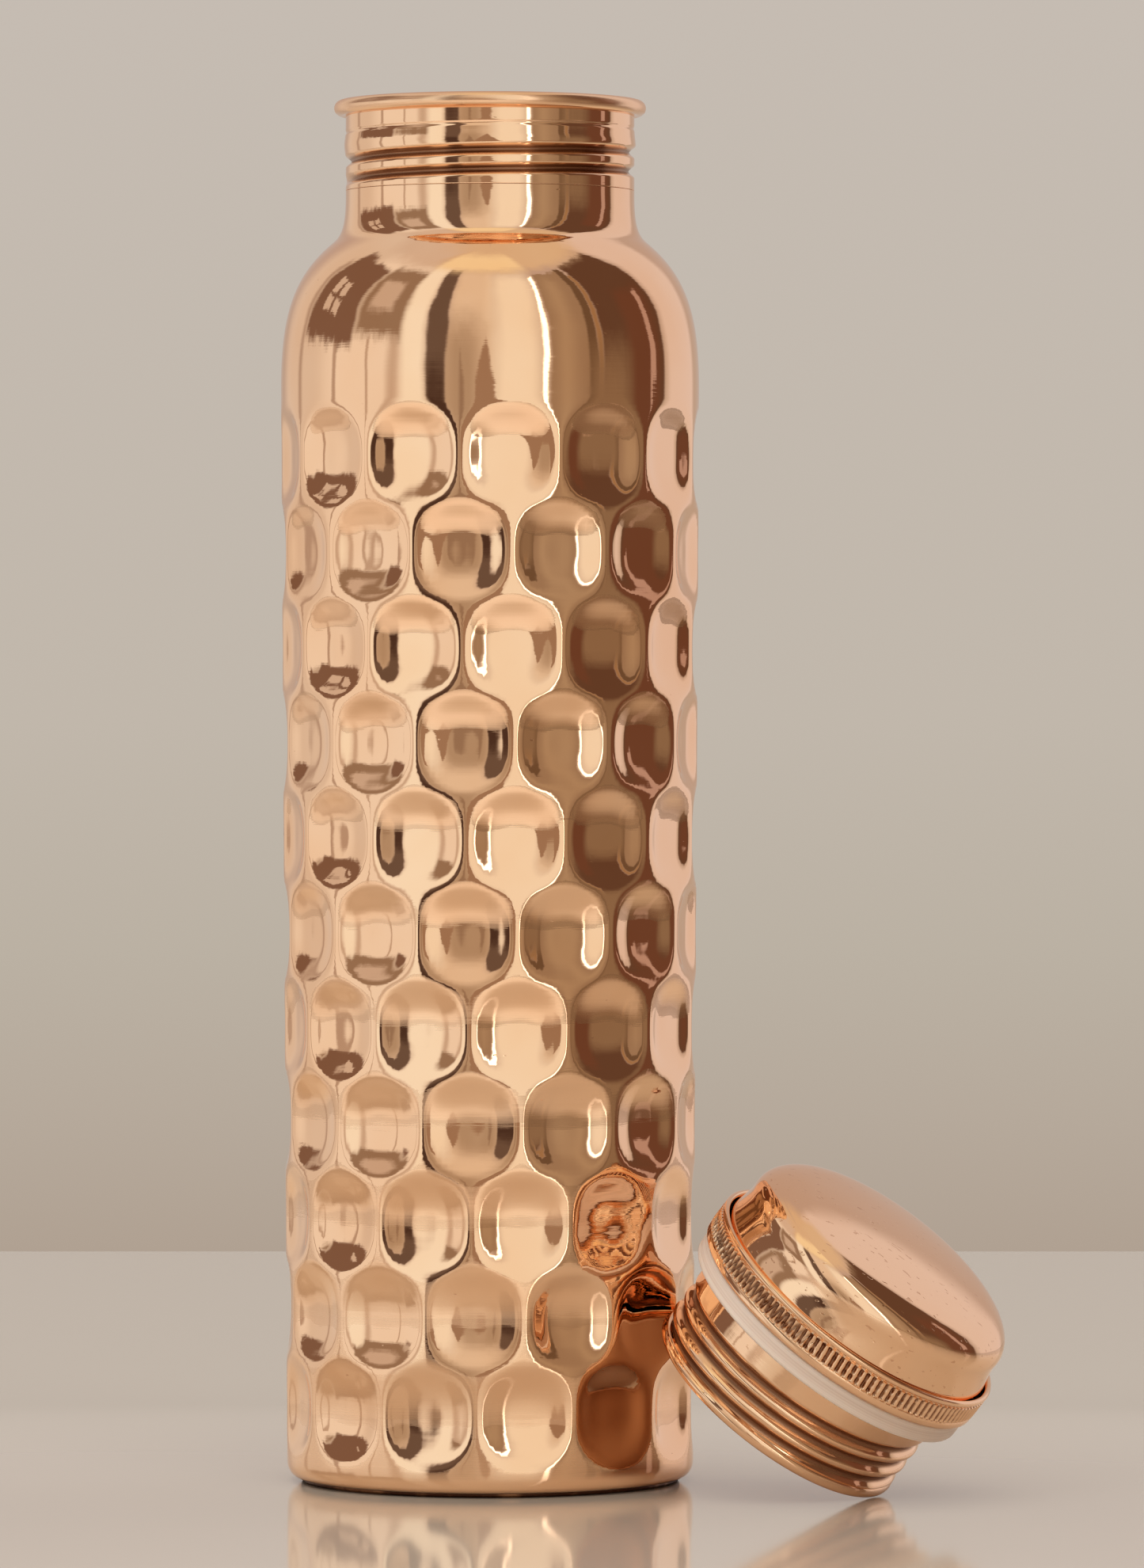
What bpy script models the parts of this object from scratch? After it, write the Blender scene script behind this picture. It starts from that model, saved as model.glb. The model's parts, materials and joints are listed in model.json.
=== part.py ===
"""Hammered copper water bottle with its screw lid taken off and leaned against it.

The bottle stands on z = 0 with its axis on +Z, and its front looks along -Y. The lid stands on
the rolled end of its plug, tilted away from the bottle. Sizes are in metres, through MM.
"""

import math

import bmesh
import bpy
from mathutils import Quaternion, Vector

MM = 0.001
FIT_GAP = 0.3 * MM  # between two pieces that touch on the real bottle
SHEET = 0.7 * MM  # copper sheet thickness

# Bottle body
BODY_RADIUS_FOOT = 35.5 * MM
BODY_RADIUS_SHOULDER = 36.5 * MM
SHOULDER_START = 191.0 * MM
NECK_RADIUS = 25.2 * MM
NECK_START = 222.0 * MM
NECK_SEAM = 225.0 * MM
CORNER_HEIGHT = 4.6 * MM
CORNER_REACH = 3.1 * MM
CORNER_DROP = 3.4 * MM

# Hammered bowls, set out in staggered rows
BOWLS_AROUND = 13
BOWL_ROWS = 11
TOP_ROW_HEIGHT = 178.4 * MM
ROW_PITCH = 16.44 * MM
BOWL_DEPTH = 1.1 * MM
BOWL_HALF_HEIGHT = 9.0 * MM
BOWL_HALF_ANGLE = math.radians(13.2)
BOWL_SQUARENESS = 2.6
FIRST_BOWL_ANGLE = math.radians(5.9)  # from the front towards +X
ROW_DRIFT = math.radians(0.45)
STEPS_PER_BOWL = 4

# Foot: a flat pan that stands just proud of the body's rounded corner
FOOT_RADIUS = 32.6 * MM
FOOT_EDGE = 0.4 * MM
PAN_WALL_TOP = 6.0 * MM

# Neck
LIP_BEAD_RADIUS = 1.35 * MM
LIP_CENTRE = (25.85 * MM, 239.45 * MM)
THREAD_PITCH = 3.35 * MM
THREAD_DEPTH = 1.05 * MM
THREAD_HALF_WIDTH = 1.15 * MM
NECK_GROOVE_HEIGHT = 227.6 * MM  # lowest groove, at the front
NECK_GROOVE_SPAN = (math.radians(-100), math.radians(510))  # counted from the front
NECK_BORE_RADIUS = 23.3 * MM
FRONT_ANGLE = math.radians(-90)

# Lid, measured along its own axis from the plug's open end
PLUG_RADIUS = 24.0 * MM
PLUG_BORE_RADIUS = 22.2 * MM
PLUG_TOP = 20.1 * MM
END_BEAD_RADIUS = 1.2 * MM
END_BEAD_CENTRE = (22.95 * MM, 1.2 * MM)
PLUG_GROOVE_HEIGHT = 3.2 * MM
PLUG_GROOVE_SPAN = (0.0, math.radians(860))
WASHER_HEIGHTS = (15.7 * MM, 19.0 * MM)
WASHER_RADII = (24.4 * MM, 27.2 * MM)
COLLAR_BOTTOM = 19.3 * MM
COLLAR_TOP = 25.4 * MM
COLLAR_RADIUS = 28.0 * MM
COLLAR_BORE_RADIUS = 26.9 * MM
COLLAR_FLOOR = 0.8 * MM
DISC_HEIGHTS = (20.4 * MM, 21.1 * MM)
DISC_RADIUS = 25.4 * MM
DOME_RIM_HEIGHT = 21.4 * MM
DOME_RIM_RADIUS = 26.5 * MM
DOME_EDGE_RADIUS = 18.0 * MM
DOME_EDGE_HEIGHT = 36.9 * MM
DOME_TOP_HEIGHT = 38.6 * MM

# Where the lid leans
LID_TILT = math.radians(39.2)
LID_BEARING = math.radians(25.5)  # from +X towards the front
LID_DISTANCE = 54.35 * MM
LID_HEIGHT = 14.86 * MM

BODY_SEGMENTS = BOWLS_AROUND * STEPS_PER_BOWL
RING_SEGMENTS = 36
COLLAR_SEGMENTS = 48

COPPER = (0.93, 0.52, 0.36, 1.0)
COPPER_LINING = (0.86, 0.45, 0.30, 1.0)
BRAZE = (0.85, 0.70, 0.42, 1.0)
SILICONE = (0.86, 0.84, 0.82, 1.0)


def clear_objects():
    for old in list(bpy.data.objects):
        bpy.data.objects.remove(old, do_unlink=True)


def finish_material(name, colour, roughness, metallic):
    """One Principled material for one piece."""
    material = bpy.data.materials.new(name)
    material.use_nodes = True
    shader = material.node_tree.nodes["Principled BSDF"]
    shader.inputs["Base Color"].default_value = colour
    shader.inputs["Roughness"].default_value = roughness
    shader.inputs["Metallic"].default_value = metallic
    return material


def bezier(start, pull_out, pull_in, end, steps):
    """Points along a cubic curve, the first one left out."""
    points = []
    for index in range(1, steps + 1):
        t = index / steps
        s = 1.0 - t
        weights = (s**3, 3 * s * s * t, 3 * s * t * t, t**3)
        corners = (start, pull_out, pull_in, end)
        points.append(tuple(sum(w * c[k] for w, c in zip(weights, corners)) for k in (0, 1)))
    return points


def arc(centre, radii, start_degrees, end_degrees, steps):
    """Points on an ellipse's arc, both ends included."""
    points = []
    for index in range(steps + 1):
        angle = math.radians(start_degrees + (end_degrees - start_degrees) * index / steps)
        points.append((centre[0] + radii[0] * math.cos(angle), centre[1] + radii[1] * math.sin(angle)))
    return points


def turned(name, outline, material, segments=RING_SEGMENTS, shape=None):
    """Spins a closed outline of (radius, height) points round +Z into one solid.

    An outline whose first and last points lie on the axis closes there. shape(bm) may move
    vertices before the mesh is made.
    """
    bm = bmesh.new()
    chain = [bm.verts.new((radius, 0.0, height)) for radius, height in outline]
    edges = [bm.edges.new(pair) for pair in zip(chain, chain[1:])]
    on_axis = outline[0][0] == 0.0 and outline[-1][0] == 0.0
    if not on_axis:
        edges.append(bm.edges.new((chain[-1], chain[0])))
    bmesh.ops.spin(
        bm, geom=chain + edges, cent=(0, 0, 0), axis=(0, 0, 1), angle=math.tau, steps=segments, use_merge=True
    )
    bmesh.ops.remove_doubles(bm, verts=bm.verts, dist=0.001 * MM)
    if shape:
        shape(bm)
    bmesh.ops.recalc_face_normals(bm, faces=bm.faces)
    mesh = bpy.data.meshes.new(name)
    bm.to_mesh(mesh)
    bm.free()
    mesh.shade_smooth()
    mesh.set_sharp_from_angle(angle=math.radians(40))
    mesh.materials.append(material)
    piece = bpy.data.objects.new(name, mesh)
    bpy.context.scene.collection.objects.link(piece)
    return piece


def body_radius(height):
    """Ridge radius of the slightly tapered body."""
    share = min(max(height / SHOULDER_START, 0.0), 1.0)
    return BODY_RADIUS_FOOT + (BODY_RADIUS_SHOULDER - BODY_RADIUS_FOOT) * share


def bowl_depth(angle, height):
    """How far the hammered sheet is pressed in, at an angle counted from the front towards +X."""
    pitch = math.tau / BOWLS_AROUND
    deepest = 0.0
    for row in range(BOWL_ROWS):
        rise = abs(height - (TOP_ROW_HEIGHT - row * ROW_PITCH)) / BOWL_HALF_HEIGHT
        if rise >= 1.0:
            continue
        centre = FIRST_BOWL_ANGLE + ROW_DRIFT * row + (0.5 * pitch if row % 2 else 0.0)
        swing = abs(math.remainder(angle - centre, pitch)) / BOWL_HALF_ANGLE
        inside = 1.0 - rise**BOWL_SQUARENESS - swing**BOWL_SQUARENESS
        deepest = max(deepest, BOWL_DEPTH * max(inside, 0.0))
    return deepest


def press_bowls(bm):
    """Turns each row of vertices to its bowls' bearing, then presses the outer skin in."""
    for vert in bm.verts:
        radius = math.hypot(vert.co.x, vert.co.y)
        row = (TOP_ROW_HEIGHT - vert.co.z) / ROW_PITCH
        angle = math.atan2(vert.co.y, vert.co.x) + FIRST_BOWL_ANGLE + FRONT_ANGLE + ROW_DRIFT * row
        if radius > BODY_RADIUS_FOOT - 0.1 * MM:
            radius -= bowl_depth(angle - FRONT_ANGLE, vert.co.z)
        vert.co.x = radius * math.cos(angle)
        vert.co.y = radius * math.sin(angle)


def thread_groove(lowest, span, outer_radius):
    """A shaper that rolls a right-handed groove into every vertex on the outer wall.

    lowest is the groove's height at the front on its first turn, and span the angles, counted
    from the front, between which it runs.
    """
    fade = math.radians(30)

    def roll(bm):
        for vert in bm.verts:
            radius = math.hypot(vert.co.x, vert.co.y)
            if abs(radius - outer_radius) > 0.05 * MM:
                continue
            bearing = math.atan2(vert.co.y, vert.co.x) - FRONT_ANGLE
            turn = round((vert.co.z - lowest) / THREAD_PITCH - bearing / math.tau)
            travel = bearing + turn * math.tau
            away = abs(vert.co.z - lowest - THREAD_PITCH * travel / math.tau) / THREAD_HALF_WIDTH
            ends = min(travel - span[0], span[1] - travel) / fade
            if away >= 1.0 or ends <= 0.0:
                continue
            depth = THREAD_DEPTH * math.cos(0.5 * math.pi * away) ** 2 * min(ends, 1.0)
            vert.co.x *= (radius - depth) / radius
            vert.co.y *= (radius - depth) / radius

    return roll


def wall(radius, bottom, top, steps):
    """Evenly spaced points straight up a wall, both ends included."""
    return [(radius, bottom + (top - bottom) * index / steps) for index in range(steps + 1)]


def make_body_shell(copper):
    corner = (BODY_RADIUS_FOOT - CORNER_REACH, CORNER_HEIGHT)
    outline = arc(corner, (CORNER_REACH, CORNER_DROP), -75, 0, 3)
    rows = BOWL_ROWS * STEPS_PER_BOWL
    lowest = TOP_ROW_HEIGHT - (BOWL_ROWS - 0.5) * ROW_PITCH
    for index in range(rows + 1):
        height = lowest + index * ROW_PITCH / STEPS_PER_BOWL
        outline.append((body_radius(height), height))
    shoulder = (BODY_RADIUS_SHOULDER, SHOULDER_START)
    slope = (29.6 * MM, 212.4 * MM)
    outline.append(shoulder)
    outline += bezier(shoulder, (36.5 * MM, 203.5 * MM), (33.2 * MM, 207.8 * MM), slope, 5)
    outline += bezier(slope, (27.0 * MM, 215.7 * MM), (25.2 * MM, 217.6 * MM), (NECK_RADIUS, NECK_START), 4)
    outline.append((NECK_RADIUS, NECK_SEAM))
    lining = BODY_RADIUS_FOOT - BOWL_DEPTH - 0.5 * MM
    outline.append((NECK_RADIUS - SHEET, NECK_SEAM))
    outline.append((NECK_RADIUS - SHEET, NECK_START - 1.0 * MM))
    outline.append((28.2 * MM, 213.0 * MM))
    outline.append((32.6 * MM, 206.6 * MM))
    outline.append((lining, 200.0 * MM))
    outline.append((lining, 8.0 * MM))
    outline.append((BODY_RADIUS_FOOT - SHEET, 6.4 * MM))
    inner = (CORNER_REACH - SHEET, CORNER_DROP - SHEET)
    outline += arc(corner, inner, 0, -75, 3)
    return turned("body_shell", outline, copper, BODY_SEGMENTS, press_bowls)


def make_base_pan(copper):
    outline = [(0.0, 0.0)]
    outline += arc((FOOT_RADIUS - FOOT_EDGE, FOOT_EDGE), (FOOT_EDGE, FOOT_EDGE), -90, 0, 2)
    outline.append((FOOT_RADIUS, PAN_WALL_TOP))
    outline.append((FOOT_RADIUS - SHEET, PAN_WALL_TOP))
    outline.append((FOOT_RADIUS - SHEET, SHEET + 0.6 * MM))
    outline.append((FOOT_RADIUS - SHEET - 0.6 * MM, SHEET))
    outline.append((0.0, SHEET))
    return turned("base_pan", outline, copper)


def make_base_braze_seam(braze):
    inside = FOOT_RADIUS + FIT_GAP
    outline = [(inside, 3.2 * MM), (33.9 * MM, 3.4 * MM), (34.4 * MM, 4.6 * MM)]
    outline += [(34.3 * MM, 5.4 * MM), (inside, 5.6 * MM)]
    return turned("base_braze_seam", outline, braze)


def make_neck_sleeve(copper):
    bottom = NECK_SEAM + FIT_GAP
    outline = wall(NECK_RADIUS, bottom, bottom + 9.6 * MM, 16)
    outline.append((NECK_RADIUS, LIP_CENTRE[1] - LIP_BEAD_RADIUS - 0.1 * MM))
    outline += arc(LIP_CENTRE, (LIP_BEAD_RADIUS, LIP_BEAD_RADIUS), -90, 180, 8)
    outline.append((NECK_BORE_RADIUS + 0.2 * MM, LIP_CENTRE[1] - 1.6 * MM))
    outline.append((NECK_BORE_RADIUS, LIP_CENTRE[1] - 3.0 * MM))
    outline.append((NECK_BORE_RADIUS, bottom))
    groove = thread_groove(NECK_GROOVE_HEIGHT, NECK_GROOVE_SPAN, NECK_RADIUS)
    return turned("neck_sleeve", outline, copper, shape=groove)


def make_neck_braze_seam(braze):
    """Solder run inside the neck, just under the sleeve."""
    outside = NECK_RADIUS - SHEET - FIT_GAP
    outline = [(outside, 223.2 * MM), (outside, NECK_SEAM), (23.5 * MM, NECK_SEAM), (23.6 * MM, 224.2 * MM)]
    return turned("neck_braze_seam", outline, braze)


def make_threaded_plug(copper):
    floor = END_BEAD_CENTRE[1]
    outline = [(0.0, floor), (END_BEAD_CENTRE[0] - END_BEAD_RADIUS, floor)]
    outline += arc(END_BEAD_CENTRE, (END_BEAD_RADIUS, END_BEAD_RADIUS), -165, 60, 8)
    outline += wall(PLUG_RADIUS, 2.3 * MM, 12.3 * MM, 16)
    outline.append((PLUG_RADIUS, PLUG_TOP))
    outline.append((PLUG_BORE_RADIUS, PLUG_TOP))
    outline.append((PLUG_BORE_RADIUS, floor + SHEET + 1.0 * MM))
    outline.append((PLUG_BORE_RADIUS - 1.0 * MM, floor + SHEET))
    outline.append((0.0, floor + SHEET))
    groove = thread_groove(PLUG_GROOVE_HEIGHT, PLUG_GROOVE_SPAN, PLUG_RADIUS)
    return turned("threaded_plug", outline, copper, shape=groove)


def make_sealing_washer(silicone):
    bottom, top = WASHER_HEIGHTS
    inner, outer = WASHER_RADII
    edge = 0.4 * MM
    outline = [(inner, bottom), (outer - edge, bottom), (outer, bottom + edge)]
    outline += [(outer, top - edge), (outer - edge, top), (inner, top)]
    return turned("sealing_washer", outline, silicone)


def make_knurled_collar(copper):
    seat = COLLAR_BOTTOM + COLLAR_FLOOR
    hole = WASHER_RADII[0]
    outline = [(hole, COLLAR_BOTTOM), (COLLAR_RADIUS - 0.7 * MM, COLLAR_BOTTOM)]
    outline.append((COLLAR_RADIUS - 0.1 * MM, COLLAR_BOTTOM + 0.6 * MM))
    outline.append((COLLAR_RADIUS, COLLAR_BOTTOM + 1.7 * MM))
    outline.append((COLLAR_RADIUS, COLLAR_TOP - 1.1 * MM))
    outline += arc((COLLAR_RADIUS - 0.55 * MM, COLLAR_TOP - 0.5 * MM), (0.55 * MM, 0.5 * MM), -45, 90, 3)
    outline.append((COLLAR_BORE_RADIUS, COLLAR_TOP))
    outline.append((COLLAR_BORE_RADIUS, seat))
    outline.append((hole, seat))
    return turned("knurled_collar", outline, copper, COLLAR_SEGMENTS)


def make_cap_backing_disc(copper):
    bottom, top = DISC_HEIGHTS
    outline = [(0.0, bottom), (DISC_RADIUS, bottom), (DISC_RADIUS, top), (0.0, top)]
    return turned("cap_backing_disc", outline, copper)


def make_cap_dome(copper):
    edge = (DOME_EDGE_RADIUS, DOME_EDGE_HEIGHT)
    waist = (25.75 * MM, 30.7 * MM)
    groove = (DOME_RIM_RADIUS, COLLAR_TOP + 0.2 * MM)
    drop = DOME_TOP_HEIGHT - DOME_EDGE_HEIGHT
    outline = [(DOME_RIM_RADIUS, DOME_RIM_HEIGHT), groove]
    outline += bezier(groove, (25.9 * MM, 27.2 * MM), (25.55 * MM, 28.8 * MM), waist, 4)
    outline += bezier(waist, (25.85 * MM, 33.6 * MM), (23.0 * MM, 35.96 * MM), edge, 6)
    crown = [0.78, 0.52, 0.26]
    for share in crown:
        outline.append((DOME_EDGE_RADIUS * share, DOME_TOP_HEIGHT - drop * share * share))
    outline.append((0.0, DOME_TOP_HEIGHT))
    outline.append((0.0, DOME_TOP_HEIGHT - SHEET))
    outline.append((DOME_EDGE_RADIUS * crown[1], DOME_TOP_HEIGHT - drop * crown[1] ** 2 - SHEET))
    outline.append((DOME_EDGE_RADIUS, DOME_EDGE_HEIGHT - SHEET))
    outline.append((23.0 * MM, 34.2 * MM))
    outline.append((24.9 * MM, 31.0 * MM))
    outline.append((24.8 * MM, 28.6 * MM))
    outline.append((DOME_RIM_RADIUS - SHEET, COLLAR_TOP + 0.2 * MM))
    outline.append((DOME_RIM_RADIUS - SHEET, DOME_RIM_HEIGHT))
    return turned("cap_dome", outline, copper)


def make_dome_braze_seam(braze):
    """Solder fillet in the corner between the backing disc and the dome's wall."""
    outside = DOME_RIM_RADIUS - SHEET - FIT_GAP
    bottom = DISC_HEIGHTS[1] + FIT_GAP
    outline = [(24.2 * MM, bottom), (outside, bottom), (outside, bottom + 1.4 * MM)]
    return turned("dome_braze_seam", outline, braze)


def make_plug_braze_seam(braze):
    """Solder fillet in the corner between the plug's wall and the backing disc."""
    outside = PLUG_BORE_RADIUS - FIT_GAP
    top = DISC_HEIGHTS[0] - FIT_GAP
    outline = [(outside, top), (20.6 * MM, top), (outside, top - 1.4 * MM)]
    return turned("plug_braze_seam", outline, braze)


def make_lid_axis():
    """An empty at the plug's open end, turned to the tilt that the lid leans at."""
    axis = bpy.data.objects.new("lid_axis", None)
    bpy.context.scene.collection.objects.link(axis)
    away = Vector((math.cos(LID_BEARING), -math.sin(LID_BEARING), 0.0))
    tipping = Vector((math.sin(LID_BEARING), math.cos(LID_BEARING), 0.0))
    axis.location = away * LID_DISTANCE + Vector((0.0, 0.0, LID_HEIGHT))
    axis.rotation_mode = "QUATERNION"
    axis.rotation_quaternion = Quaternion(tipping, LID_TILT)
    return axis


def main():
    clear_objects()
    copper = finish_material("polished_copper", COPPER, 0.12, 1.0)
    lining = finish_material("unlacquered_copper", COPPER_LINING, 0.35, 1.0)
    braze = finish_material("braze", BRAZE, 0.45, 1.0)
    silicone = finish_material("silicone", SILICONE, 0.55, 0.0)
    make_body_shell(copper)
    make_base_pan(lining)
    make_base_braze_seam(braze)
    make_neck_sleeve(copper)
    make_neck_braze_seam(braze)
    lid_axis = make_lid_axis()
    lid_pieces = [
        make_threaded_plug(copper),
        make_plug_braze_seam(braze),
        make_sealing_washer(silicone),
        make_knurled_collar(copper),
        make_cap_backing_disc(lining),
        make_cap_dome(copper),
        make_dome_braze_seam(braze),
    ]
    for piece in lid_pieces:
        piece.parent = lid_axis
    bpy.context.view_layer.update()


main()
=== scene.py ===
"""A hammered copper water bottle with its screw lid off, leaned against the body.

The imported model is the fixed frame. The classes below rebuild its visible pieces at full
detail: the hammered body, the threaded neck, the foot, and the lid with its knurled collar,
rolled plug thread and silicone washer. All lengths are metres, through MM.
"""

from __future__ import annotations

import json
import logging
import math
from dataclasses import dataclass, field
from enum import Enum
from typing import Callable, Iterable

import bmesh
import bpy
from mathutils import Matrix, Vector, noise

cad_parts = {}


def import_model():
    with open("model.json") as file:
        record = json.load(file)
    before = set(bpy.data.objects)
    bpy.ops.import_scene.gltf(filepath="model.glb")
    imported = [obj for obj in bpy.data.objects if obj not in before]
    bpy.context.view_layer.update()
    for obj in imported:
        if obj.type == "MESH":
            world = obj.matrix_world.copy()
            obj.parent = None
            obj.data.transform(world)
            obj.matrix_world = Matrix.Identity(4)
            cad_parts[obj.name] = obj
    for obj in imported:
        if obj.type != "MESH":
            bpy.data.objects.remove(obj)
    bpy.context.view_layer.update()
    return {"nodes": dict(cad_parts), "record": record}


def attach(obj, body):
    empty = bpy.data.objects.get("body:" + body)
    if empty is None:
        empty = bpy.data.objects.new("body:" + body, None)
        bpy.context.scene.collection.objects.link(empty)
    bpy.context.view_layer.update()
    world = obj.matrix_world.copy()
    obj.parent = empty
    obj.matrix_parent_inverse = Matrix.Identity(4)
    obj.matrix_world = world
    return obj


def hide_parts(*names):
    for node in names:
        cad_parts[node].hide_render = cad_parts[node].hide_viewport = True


LOG = logging.getLogger("copper_bottle")
SWAY_SEED = 7
MM = 0.001
FRONT = math.radians(-90)
ON_AXIS = 0.001 * MM
WELD = 0.0005 * MM
SAME_HEIGHT = 1e-9
SAME_RADIUS = 1e-7
SOFT_CREASE = 40.0
THREAD_CREASE = 55.0
KNURL_CREASE = 60.0

Point = tuple[float, float]
Grain = tuple[float, float, float]
Colour = tuple[float, float, float, float]
Socket = bpy.types.NodeSocket


class Role(Enum):
    """What an outline's closing edge does."""

    OPEN_SHEET = "open sheet"
    CLOSED_RING = "closed ring"
    CLOSED_ON_AXIS = "closed on axis"


@dataclass
class Outline:
    """A turned piece's half section, drawn as a path of (radius, height) points."""

    points: list[Point] = field(default_factory=list)

    def to(self, radius: float, height: float, steps: int = 1) -> Outline:
        """Draws a straight run to a point, in equal steps."""
        if not self.points:
            self.points.append((radius, height))
            return self
        start = self.points[-1]
        for index in range(1, steps + 1):
            t = index / steps
            self.points.append((start[0] + (radius - start[0]) * t, start[1] + (height - start[1]) * t))
        return self

    def curve(self, pull_out: Point, pull_in: Point, end: Point, steps: int) -> Outline:
        """Draws a cubic curve from the path's last point."""
        corners = (self.points[-1], pull_out, pull_in, end)
        for index in range(1, steps + 1):
            t = index / steps
            s = 1.0 - t
            weights = (s**3, 3 * s * s * t, 3 * s * t * t, t**3)
            self.points.append(tuple(sum(w * c[k] for w, c in zip(weights, corners)) for k in (0, 1)))
        return self

    def arc(self, centre: Point, radii: Point, start: float, end: float, steps: int) -> Outline:
        """Draws an ellipse's arc between two angles in degrees, both ends included."""
        for index in range(steps + 1):
            angle = math.radians(start + (end - start) * index / steps)
            across, up = radii[0] * math.cos(angle), radii[1] * math.sin(angle)
            self.points.append((centre[0] + across, centre[1] + up))
        return self

    def spin(self, segments: int, role: Role) -> bmesh.types.BMesh:
        """Turns the path round +Z.

        Args:
            segments: How many steps make the full turn.
            role: Whether the path stays open, closes on itself, or closes on the axis.

        Returns:
            A new mesh with its faces pointing out.
        """
        bm = bmesh.new()
        chain = [bm.verts.new((radius, 0.0, height)) for radius, height in self.points]
        edges = [bm.edges.new(pair) for pair in zip(chain, chain[1:])]
        if role is Role.CLOSED_RING:
            edges.append(bm.edges.new((chain[-1], chain[0])))
        bmesh.ops.spin(
            bm,
            geom=chain + edges,
            cent=(0.0, 0.0, 0.0),
            axis=(0.0, 0.0, 1.0),
            angle=math.tau,
            steps=segments,
            use_merge=True,
        )
        bmesh.ops.remove_doubles(bm, verts=bm.verts, dist=WELD)
        bmesh.ops.recalc_face_normals(bm, faces=bm.faces)
        return bm


def shift_radius(bm: bmesh.types.BMesh, change: Callable[[float, float, float], float]) -> None:
    """Moves every vertex along its radius.

    Args:
        bm: The turned mesh.
        change: Gives the new radius from the old radius, the angle round +Z and the height.
    """
    for vert in bm.verts:
        radius = math.hypot(vert.co.x, vert.co.y)
        if radius < ON_AXIS:
            continue
        ratio = change(radius, math.atan2(vert.co.y, vert.co.x), vert.co.z) / radius
        vert.co.x *= ratio
        vert.co.y *= ratio


def runs_around(edge: bmesh.types.BMEdge) -> bool:
    """Whether an edge runs round the axis, with both ends at one height and one radius."""
    first, second = (vert.co for vert in edge.verts)
    level = abs(first.z - second.z) < SAME_HEIGHT and edge.calc_length() > SAME_HEIGHT
    return level and abs(first.xy.length - second.xy.length) < SAME_RADIUS


def divide_turns(bm: bmesh.types.BMesh, turns: int, steps: int) -> None:
    """Divides every segment of a turned ring and brings the new vertices out to the circle.

    Args:
        bm: The turned mesh, whose spin began on +X.
        turns: How many segments it has.
        steps: How many each one becomes.
    """
    around = [edge for edge in bm.edges if runs_around(edge)]
    bmesh.ops.subdivide_edges(bm, edges=around, cuts=steps - 1, use_grid_fill=True)
    wedge = math.tau / turns
    hair = 1e-6

    def bring_out(radius: float, angle: float, _height: float) -> float:
        """The circle's radius where a vertex lies on one of its chords."""
        middle = (math.floor(angle / wedge + hair) + 0.5) * wedge
        return radius * math.cos(angle - middle) / math.cos(0.5 * wedge)

    shift_radius(bm, bring_out)
    bmesh.ops.recalc_face_normals(bm, faces=bm.faces)


@dataclass(frozen=True)
class RolledThread:
    """A right-handed groove rolled into a sheet wall.

    Attributes:
        lowest: Height of the groove at the front, on the turn that counts as zero.
        span: Angles from the front, in degrees, between which it runs.
        pitch: Rise in one turn.
        depth: Depth of the groove.
        half_width: Half of its width along the axis.
        fade: Angle in degrees over which each end runs out.
    """

    lowest: float
    span: tuple[float, float]
    pitch: float = 3.35 * MM
    depth: float = 1.05 * MM
    half_width: float = 1.2 * MM
    fade: float = 35.0

    def bite(self, angle: float, height: float) -> float:
        """Depth pressed in at an angle round +Z and a height."""
        bearing = angle - FRONT
        turn = round((height - self.lowest) / self.pitch - bearing / math.tau)
        travel = bearing + turn * math.tau
        away = abs(height - self.lowest - self.pitch * travel / math.tau) / self.half_width
        along = math.degrees(travel)
        ends = min(along - self.span[0], self.span[1] - along) / self.fade
        if away >= 1.0 or ends <= 0.0:
            return 0.0
        ease = min(ends, 1.0)
        return self.depth * math.cos(0.5 * math.pi * away) ** 2 * ease * ease * (3.0 - 2.0 * ease)


def finish_piece(
    name: str, bm: bmesh.types.BMesh, material: bpy.types.Material, crease: float = SOFT_CREASE
) -> bpy.types.Object:
    """Makes the object of a finished mesh, shaded smooth except along creases.

    Args:
        name: The piece's name.
        bm: The finished mesh, which is freed.
        material: Its finish.
        crease: Angle in degrees past which an edge shows as sharp.

    Returns:
        The new object, at the origin.
    """
    mesh = bpy.data.meshes.new(name)
    bm.to_mesh(mesh)
    bm.free()
    mesh.shade_smooth()
    mesh.set_sharp_from_angle(angle=math.radians(crease))
    mesh.materials.append(material)
    piece = bpy.data.objects.new(name, mesh)
    bpy.context.scene.collection.objects.link(piece)
    LOG.info("%s: %d faces", name, len(mesh.polygons))
    return piece


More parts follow.
